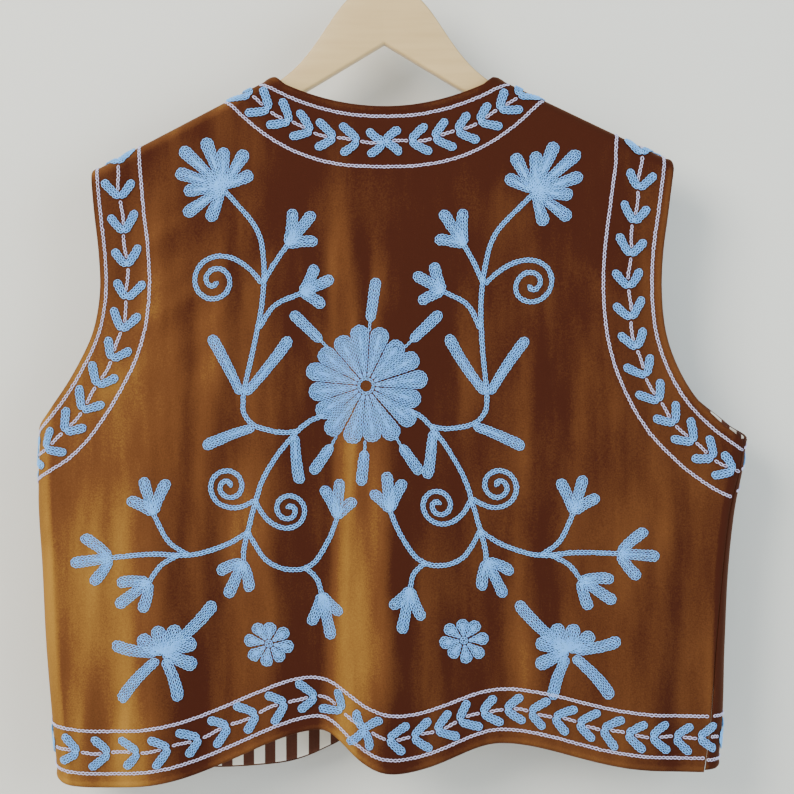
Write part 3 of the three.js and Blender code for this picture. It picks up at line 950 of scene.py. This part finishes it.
for side in ("left", "right"):
    sign = -1 if side == "left" else 1
    arm, opening = freeEdges("front", side)
    foot = arm[-1] + np.array([sign * 14, -2])
    arm = np.concatenate([[[sign * 234, -165]], arm, [foot]])
    along = opening[(opening[:, 1] < -138) | (np.abs(opening[:, 0]) > 120)]
    lines = [besideEdge(arm, -sign * d) for d in (6, 40, 22)]
    lines += [besideEdge(along, sign * d) for d in (8, 42, 25)]
    lines = [inside(line, "front") for line in lines]
    lines = [line[line[:, 1] < shoulderHeight(line[:, 0]) + 4] for line in lines]
    openVine, armVine = lines.pop(5), lines.pop(2)
    armLength, openLength = lineLength(armVine)[-1], lineLength(openVine)[-1]
    leaves = []
    for line, spots in ((armVine, leafSpots(16, armLength - 10, 12, 0.15)),
                        (openVine, leafSpots(16, openLength - 10, int(openLength / 21)))):
        leaves += vineLeaves(line, spots, -1)
        lines += cutVine(line, spots, -1)
    threadPieces["front_" + side] = [
        stitchMesh("border_leaves_front_" + side, "front", leaves, over=border["leafOver"])]
    edgePieces["front_" + side] = [
        stitchMesh("border_lines_front_" + side, "front", lines, border["linePitch"], border["lineWiden"])]


hanger = {
    "thick": 12,
    "round": 3,
    "crownTop": -60,
    "crownBends": ((40, -60), (44, -112), (84, -137.6)),
    "crownEnd": 86,
    "armSlope": 0.525,
    "armHigh": 20,
    "armUnder": 6.5,
    "endStart": 207,       # where the rounded end begins, and its length
    "endLength": 12,
    "apex": -108,
    "apexReach": 70,
    "wire": 1.8,
    "hook": 18,
}


def asTriangles(quads):
    return np.concatenate([quads[:, [0, 1, 2]], quads[:, [0, 2, 3]]])


# Joins rings of equal size into a tube and closes both ends with a fan to their middles.
def ringTube(rings):
    count, size = rings.shape[:2]
    ring = np.arange(size)
    start = (np.arange(count - 1) * size)[:, None]
    a, b = start + ring, start + (ring + 1) % size
    quads = np.stack([a, b, b + size, a + size], -1).reshape(-1, 4)
    verts = np.concatenate([rings.reshape(-1, 3), [rings[0].mean(0), rings[-1].mean(0)]])
    first, last = count * size, count * size + 1
    end = (count - 1) * size
    fans = np.concatenate([
        np.stack([(ring + 1) % size, ring, np.full(size, first)], -1),
        np.stack([end + ring, end + (ring + 1) % size, np.full(size, last)], -1)])
    return verts, np.concatenate([asTriangles(quads), fans])


# The board: across it the section is a rounded rectangle between its upper and lower lines.
def boardMesh():
    t = np.linspace(0, 1, 60)[:, None]
    top, first, second, last = np.array([(0, hanger["crownTop"]), *hanger["crownBends"]], float)
    crown = (1 - t) ** 3 * top + 3 * t * (1 - t) ** 2 * first + 3 * t ** 2 * (1 - t) * second + t ** 3 * last
    quarter = np.linspace(0, math.pi / 2, 12)[:-1]
    end = hanger["endStart"] + hanger["endLength"] * np.append(np.sin(quarter), 0.9975)
    half = np.concatenate([np.linspace(0, 90, 46), np.linspace(94, 204, 28), end])
    x = np.concatenate([-half[:0:-1], half])
    away = np.abs(x)

    def armAt(reach):
        return cloth["neckPoint"] - hanger["armUnder"] - hanger["armSlope"] * (reach - cloth["neckHalf"])
    armTop = armAt(away)
    high = np.where(away < hanger["crownEnd"], np.interp(away, crown[:, 0], crown[:, 1]), armTop)
    reach = hanger["apexReach"]
    under = lerp(hanger["apex"], armAt(reach) - hanger["armHigh"] + 1, away / reach)
    low = np.where(away < reach, under, armTop - hanger["armHigh"])
    past = np.clip((away - hanger["endStart"]) / hanger["endLength"], 0, 1)
    close = np.sqrt(np.clip(1 - past ** 2, 0.0004, 1))
    middle, tall = (high + low) / 2, (high - low) * close
    deep = hanger["thick"] / 2 * np.minimum(1, 0.35 + 0.65 * close)
    curve = np.minimum(hanger["round"], np.minimum(tall / 2.02, deep / 1.3))
    corner = np.radians(np.linspace(0, 90, 6))
    angles = np.concatenate([corner + k * math.pi / 2 for k in range(4)])
    signY = np.repeat([1, -1, -1, 1], 6)
    signZ = np.repeat([1, 1, -1, -1], 6)
    y = signY * (deep - curve)[:, None] + curve[:, None] * np.cos(angles)
    z = middle[:, None] + signZ * (tall / 2 - curve)[:, None] + curve[:, None] * np.sin(angles)
    return ringTube(np.stack([np.repeat(x[:, None], 24, 1), y, z], -1))


# The wire: a shank, then three quarters of a circle, as a tube with round ends.
def hookMesh():
    middle = hanger["wire"] - hanger["hook"]
    bend = np.radians(np.arange(-50, 206, 15))
    circle = hanger["hook"] * pair(np.cos(bend), np.sin(bend)) + [0, middle]
    shank = [[0, hanger["crownTop"] + cloth["gap"]], [0, hanger["crownTop"] + 12]]
    points = np.concatenate([shank, circle])
    line = softened(smoothLine(points), 4)
    along = unit(np.gradient(line, axis=0))
    cap = np.radians([20, 45, 65, 82])
    radius = np.concatenate([np.full(len(line), 1.0), np.cos(cap)]) * hanger["wire"]
    line = np.concatenate([line, line[-1] + along[-1] * hanger["wire"] * np.sin(cap)[:, None]])
    along = np.concatenate([along, np.repeat(along[-1:], 4, 0)])
    around = np.linspace(0, 2 * math.pi, 16, endpoint=False)
    side = pair(along[:, 1], -along[:, 0])
    x = line[:, :1] + radius[:, None] * np.cos(around) * side[:, :1]
    z = line[:, 1:] + radius[:, None] * np.cos(around) * side[:, 1:]
    y = radius[:, None] * np.sin(around)
    return ringTube(np.stack([x, y, z], -1))


board = addMesh("hanger_board_shaped", *boardMesh())
hook = addMesh("hanger_hook_wire", *hookMesh())
print("hanger", len(board.data.polygons), len(hook.data.polygons))


# A colour as it is seen, turned into linear values.
def shade(red, green, blue):
    value = np.array([red, green, blue]) / 255
    linear = np.where(value <= 0.04045, value / 12.92, ((value + 0.055) / 1.055) ** 2.4)
    return (*linear, 1)


# Short hand for adding nodes to a tree and joining their sockets.
class Nodes:
    def __init__(self, tree):
        self.tree = tree

    def put(self, value, socket):
        if hasattr(value, "is_output"):
            self.tree.links.new(value, socket)
        else:
            socket.default_value = value

    def add(self, kind, inputs=None, **settings):
        node = self.tree.nodes.new("ShaderNode" + kind)
        for label, value in settings.items():
            setattr(node, label, value)
        for label, value in (inputs or {}).items():
            self.put(value, node.inputs[label])
        return node

    def math(self, operation, a, b=0.0, c=0.5, clamp=False):
        return self.add("Math", {0: a, 1: b, 2: c}, operation=operation, use_clamp=clamp).outputs[0]

    # A value between 0 and 1 turned about its middle: as much below zero as above it.
    def about(self, value, gain):
        return self.math("MULTIPLY_ADD", value, gain, -gain / 2)

    def mix(self, factor, a, b):
        return self.add("Mix", {0: factor, 6: a, 7: b}, data_type="RGBA").outputs[2]

    # Sets a shader's colour, and its normal by a height.
    def cover(self, shader, colour, height, strength, distance):
        self.put(colour, shader.inputs["Base Color"])
        bump = self.add("Bump", {"Height": height, "Strength": strength, "Distance": distance})
        self.put(bump.outputs[0], shader.inputs["Normal"])


# A material with the values that are the same all over it.
def startMaterial(name, **values):
    material = bpy.data.materials.new(name)
    material.use_nodes = True
    tree = material.node_tree
    shader = tree.nodes["Principled BSDF"]
    for label, value in values.items():
        shader.inputs[label.replace("_", " ")].default_value = value
    return material, Nodes(tree), shader


def makeGroup(name, inputs, outputs):
    tree = bpy.data.node_groups.new(name, "ShaderNodeTree")
    for label, kind, value in inputs:
        socket = tree.interface.new_socket(label, in_out="INPUT", socket_type=kind)
        if value is not None:
            socket.default_value = value
    for label, kind in outputs:
        tree.interface.new_socket(label, in_out="OUTPUT", socket_type=kind)
    nodes = Nodes(tree)
    return tree, nodes, nodes.tree.nodes.new("NodeGroupInput"), nodes.tree.nodes.new("NodeGroupOutput")


# Uneven wear over a surface: broad clouds drawn out along one way, and fine specks.
def clouds():
    tree, nodes, given, result = makeGroup(
        "clouds",
        [("Stretch", "NodeSocketVector", (1, 1, 1)), ("Scale", "NodeSocketFloat", 10.0),
         ("Specks", "NodeSocketFloat", 400.0)],
        [("Cloud", "NodeSocketFloat"), ("Speck", "NodeSocketFloat")])
    place = nodes.add("TexCoord").outputs["Object"]
    stretch = {0: place, 1: given.outputs["Stretch"]}
    stretched = nodes.add("VectorMath", stretch, operation="MULTIPLY").outputs[0]
    for label, vector, scale, detail, rough in (
        ("Cloud", stretched, "Scale", 3.0, 0.55),
        ("Speck", place, "Specks", 2.0, 0.6),
    ):
        settings = {"Vector": vector, "Scale": given.outputs[scale], "Detail": detail, "Roughness": rough}
        nodes.put(nodes.add("TexNoise", settings).outputs[0], result.inputs[label])
    return tree


cloudGroup = clouds()


def useGroup(nodes, tree, **inputs):
    node = nodes.tree.nodes.new("ShaderNodeGroup")
    node.node_tree = tree
    for label, value in inputs.items():
        node.inputs[label].default_value = value
    return node


# The velvet's ramp: dark is painted shade and gold is painted sheen, both mixed with the pile's random
# uneven tone; brown lies between.
velvetToneAndSheen = {"dark": shade(55, 22, 10), "brown": shade(92, 55, 27), "gold": shade(148, 108, 44)}


def makeVelvet():
    material, nodes, shader = startMaterial(
        "velvet", Roughness=0.85, Specular_IOR_Level=0.08, Sheen_Weight=0.18, Sheen_Roughness=0.4,
        Sheen_Tint=shade(205, 150, 95))
    # The painted sheen and painted shade of the pile, read from the mesh; random clouds and specks add the
    # pile's own uneven tone.
    paintedLight = nodes.add("Attribute", attribute_name="paintedLight").outputs["Fac"]
    broad = useGroup(nodes, cloudGroup, Stretch=(1.8, 1, 0.8), Scale=9.0, Specks=900.0)
    streak = useGroup(nodes, cloudGroup, Stretch=(3.5, 3, 0.5), Scale=20.0, Specks=260.0)
    value = nodes.math("ADD", paintedLight, nodes.about(broad.outputs["Cloud"], 0.66))
    value = nodes.math("ADD", value, nodes.about(streak.outputs["Cloud"], 0.36))
    value = nodes.math("ADD", value, nodes.about(broad.outputs["Speck"], 0.34), clamp=True)
    ramp = nodes.add("ValToRGB", {0: value})
    stops = ramp.color_ramp.elements
    stops[0].position, stops[0].color = 0.12, velvetToneAndSheen["dark"]
    stops[1].position, stops[1].color = 0.95, velvetToneAndSheen["gold"]
    stops.new(0.48).color = velvetToneAndSheen["brown"]
    nodes.cover(shader, ramp.outputs[0], broad.outputs["Speck"], 0.25, 0.0006)
    return material


# Stripes along the cloth's length, from a sine across it with its slopes made steep.
def makeLining():
    material, nodes, shader = startMaterial(
        "striped_lining", Roughness=0.8, Specular_IOR_Level=0.25, Sheen_Weight=0.08)
    place = nodes.add("UVMap", uv_map="cloth").outputs[0]
    across = nodes.add("SeparateXYZ", {0: place}).outputs[0]
    wave = nodes.math("SINE", nodes.math("MULTIPLY", across, 2 * math.pi * uvStep / stripeRepeat))
    edge = nodes.math("MULTIPLY_ADD", wave, 9.0, 0.5, clamp=True)
    mottled = useGroup(nodes, cloudGroup, Stretch=(1, 1, 0.3), Scale=30.0, Specks=1200.0)
    cream = nodes.mix(mottled.outputs["Cloud"], shade(236, 230, 216), shade(214, 208, 198))
    dark = nodes.mix(mottled.outputs["Speck"], shade(62, 28, 16), shade(88, 46, 28))
    nodes.cover(shader, nodes.mix(edge, dark, cream), mottled.outputs["Speck"], 0.2, 0.0003)
    return material


# Each loop has its own tint between the light and the dark thread, with fibres along it.
def makeThread(name, light, dark):
    material, nodes, shader = startMaterial(
        name, Roughness=0.6, Specular_IOR_Level=0.2, Sheen_Weight=0.05, Sheen_Roughness=0.4)
    tint = nodes.add("Attribute", attribute_name="tint").outputs["Fac"]
    fibre = useGroup(nodes, cloudGroup, Stretch=(1, 1, 1), Scale=60.0, Specks=2200.0)
    factor = nodes.math("MULTIPLY_ADD", fibre.outputs["Speck"], 0.7, -0.1)
    factor = nodes.math("ADD", factor, nodes.math("MULTIPLY", tint, 0.35), clamp=True)
    nodes.cover(shader, nodes.mix(factor, light, dark), fibre.outputs["Speck"], 0.3, 0.0002)
    return material


def makeBeech():
    material, nodes, shader = startMaterial(
        "beech", Roughness=0.42, Specular_IOR_Level=0.4, Coat_Weight=0.18, Coat_Roughness=0.25)
    grain = useGroup(nodes, cloudGroup, Stretch=(0.5, 4, 6), Scale=26.0, Specks=700.0)
    broad = useGroup(nodes, cloudGroup, Stretch=(0.4, 1, 2.2), Scale=9.0, Specks=300.0)
    colour = nodes.mix(grain.outputs["Cloud"], shade(204, 178, 128), shade(174, 144, 96))
    colour = nodes.mix(nodes.math("MULTIPLY", broad.outputs["Cloud"], 0.5), colour, shade(195, 168, 120))
    nodes.cover(shader, colour, grain.outputs["Cloud"], 0.08, 0.0004)
    return material


def makeSteel():
    material, nodes, shader = startMaterial("hook_steel", Metallic=1.0, Base_Color=shade(196, 198, 200))
    brushed = useGroup(nodes, cloudGroup, Stretch=(1, 1, 1), Scale=120.0, Specks=900.0)
    nodes.put(nodes.math("MULTIPLY_ADD", brushed.outputs["Cloud"], 0.16, 0.2), shader.inputs["Roughness"])
    return material


velvet, lining = makeVelvet(), makeLining()
thread = makeThread("thread", shade(130, 200, 255), shade(98, 172, 253))
edgeThread = makeThread("edge_thread", shade(216, 214, 246), shade(188, 188, 228))
beech, steel = makeBeech(), makeSteel()


# Puts a piece on the one body, with its material, and hides the solids that it stands for.
def fit(piece, material, slotName, *nodes):
    piece.data.materials.append(material)
    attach(piece, "root")
    if nodes:
        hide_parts(*nodes)


for name, (outside, under) in panels.items():
    fit(outside, velvet, "velvet", name)
    fit(under, lining, "lining", "lining_" + name)
    for piece in threadPieces[name]:
        fit(piece, thread, "thread")
    for piece in edgePieces[name]:
        fit(piece, edgeThread, "edge_thread")
fit(board, beech, "beech", "hanger_board")
fit(hook, steel, "hook_steel", "hanger_hook")


studio = {"wallY": 0.052, "floorZ": -0.80}


# A large flat sheet of painted wall or floor.
def plane(name, corners, colour):
    piece = addMesh(name, np.array(corners, float) / metres, np.array([[0, 1, 2, 3]]))
    material, nodes, shader = startMaterial(name, Roughness=0.95, Specular_IOR_Level=0.1)
    mottle = useGroup(nodes, cloudGroup, Stretch=(1, 1, 1), Scale=2.0, Specks=260.0)
    darker = (*(0.9 * np.array(colour[:3])), 1)
    tone = nodes.mix(nodes.math("MULTIPLY", mottle.outputs["Cloud"], 0.25), colour, darker)
    nodes.put(tone, shader.inputs["Base Color"])
    piece.data.materials.append(material)
    return nodes, shader


wallY = studio["wallY"]
nodes, shader = plane(
    "wall", [(-3, wallY, -0.8), (3, wallY, -0.8), (3, wallY, 2.5), (-3, wallY, 2.5)], shade(214, 214, 208))
# The wall shows its front to the camera only, so that light reaches the fronts and they can be seen too.
clear = nodes.add("BsdfTransparent").outputs[0]
seen = nodes.add("LightPath").outputs["Is Camera Ray"]
behind = nodes.math("SUBTRACT", 1.0, nodes.add("NewGeometry").outputs["Backfacing"])
shown = nodes.math("MULTIPLY", seen, behind)
wallShader = nodes.add("MixShader", {0: shown, 1: clear, 2: shader.outputs[0]}).outputs[0]
nodes.put(wallShader, nodes.tree.nodes["Material Output"].inputs["Surface"])
floorZ = studio["floorZ"]
plane("floor", [(-3, -3, floorZ), (3, -3, floorZ), (3, 3, floorZ), (-3, 3, floorZ)], shade(218, 217, 212))

lamps = {
    "window": {"at": (-1.5, -1.9, 0.7), "size": 1.5, "power": 97, "colour": (1.0, 0.95, 0.86)},
    "fill": {"at": (1.8, -1.6, -0.1), "size": 2.0, "power": 52, "colour": (0.76, 0.90, 1.0)},
    "rearLeft": {"at": (-1.2, 1.9, 0.5), "size": 1.4, "power": 30, "colour": (1.0, 0.97, 0.92)},
    "rearRight": {"at": (1.5, 1.7, 0.2), "size": 1.6, "power": 18, "colour": (0.9, 0.95, 1.0)},
}
aim = np.array([0, 0, -0.39])
for name, lamp in lamps.items():
    light = bpy.data.lights.new(name, "AREA")
    light.shape = "DISK"
    light.size = lamp["size"]
    light.energy = lamp["power"]
    light.color = lamp["colour"]
    holder = bpy.data.objects.new(name, light)
    holder.location = lamp["at"]
    way = mathutils.Vector(aim - np.array(lamp["at"]))
    holder.rotation_euler = way.to_track_quat("-Z", "Y").to_euler()
    bpy.context.scene.collection.objects.link(holder)

world = bpy.data.worlds.new("studio")
world.use_nodes = True
background = world.node_tree.nodes["Background"]
background.inputs["Color"].default_value = (0.86, 0.89, 0.92, 1)
background.inputs["Strength"].default_value = 0.77
bpy.context.scene.world = world

view = {"x": 0.0101, "z": -0.3866, "away": 1.32, "field": 0.619}
camera = bpy.data.objects.new("camera", bpy.data.cameras.new("camera"))
camera.data.sensor_width = 36
camera.data.lens = 36 * (view["away"] - 0.02) / view["field"]
camera.location = (view["x"], -view["away"], view["z"])
camera.rotation_euler = (math.pi / 2, 0, 0)
bpy.context.scene.collection.objects.link(camera)
bpy.context.scene.camera = camera
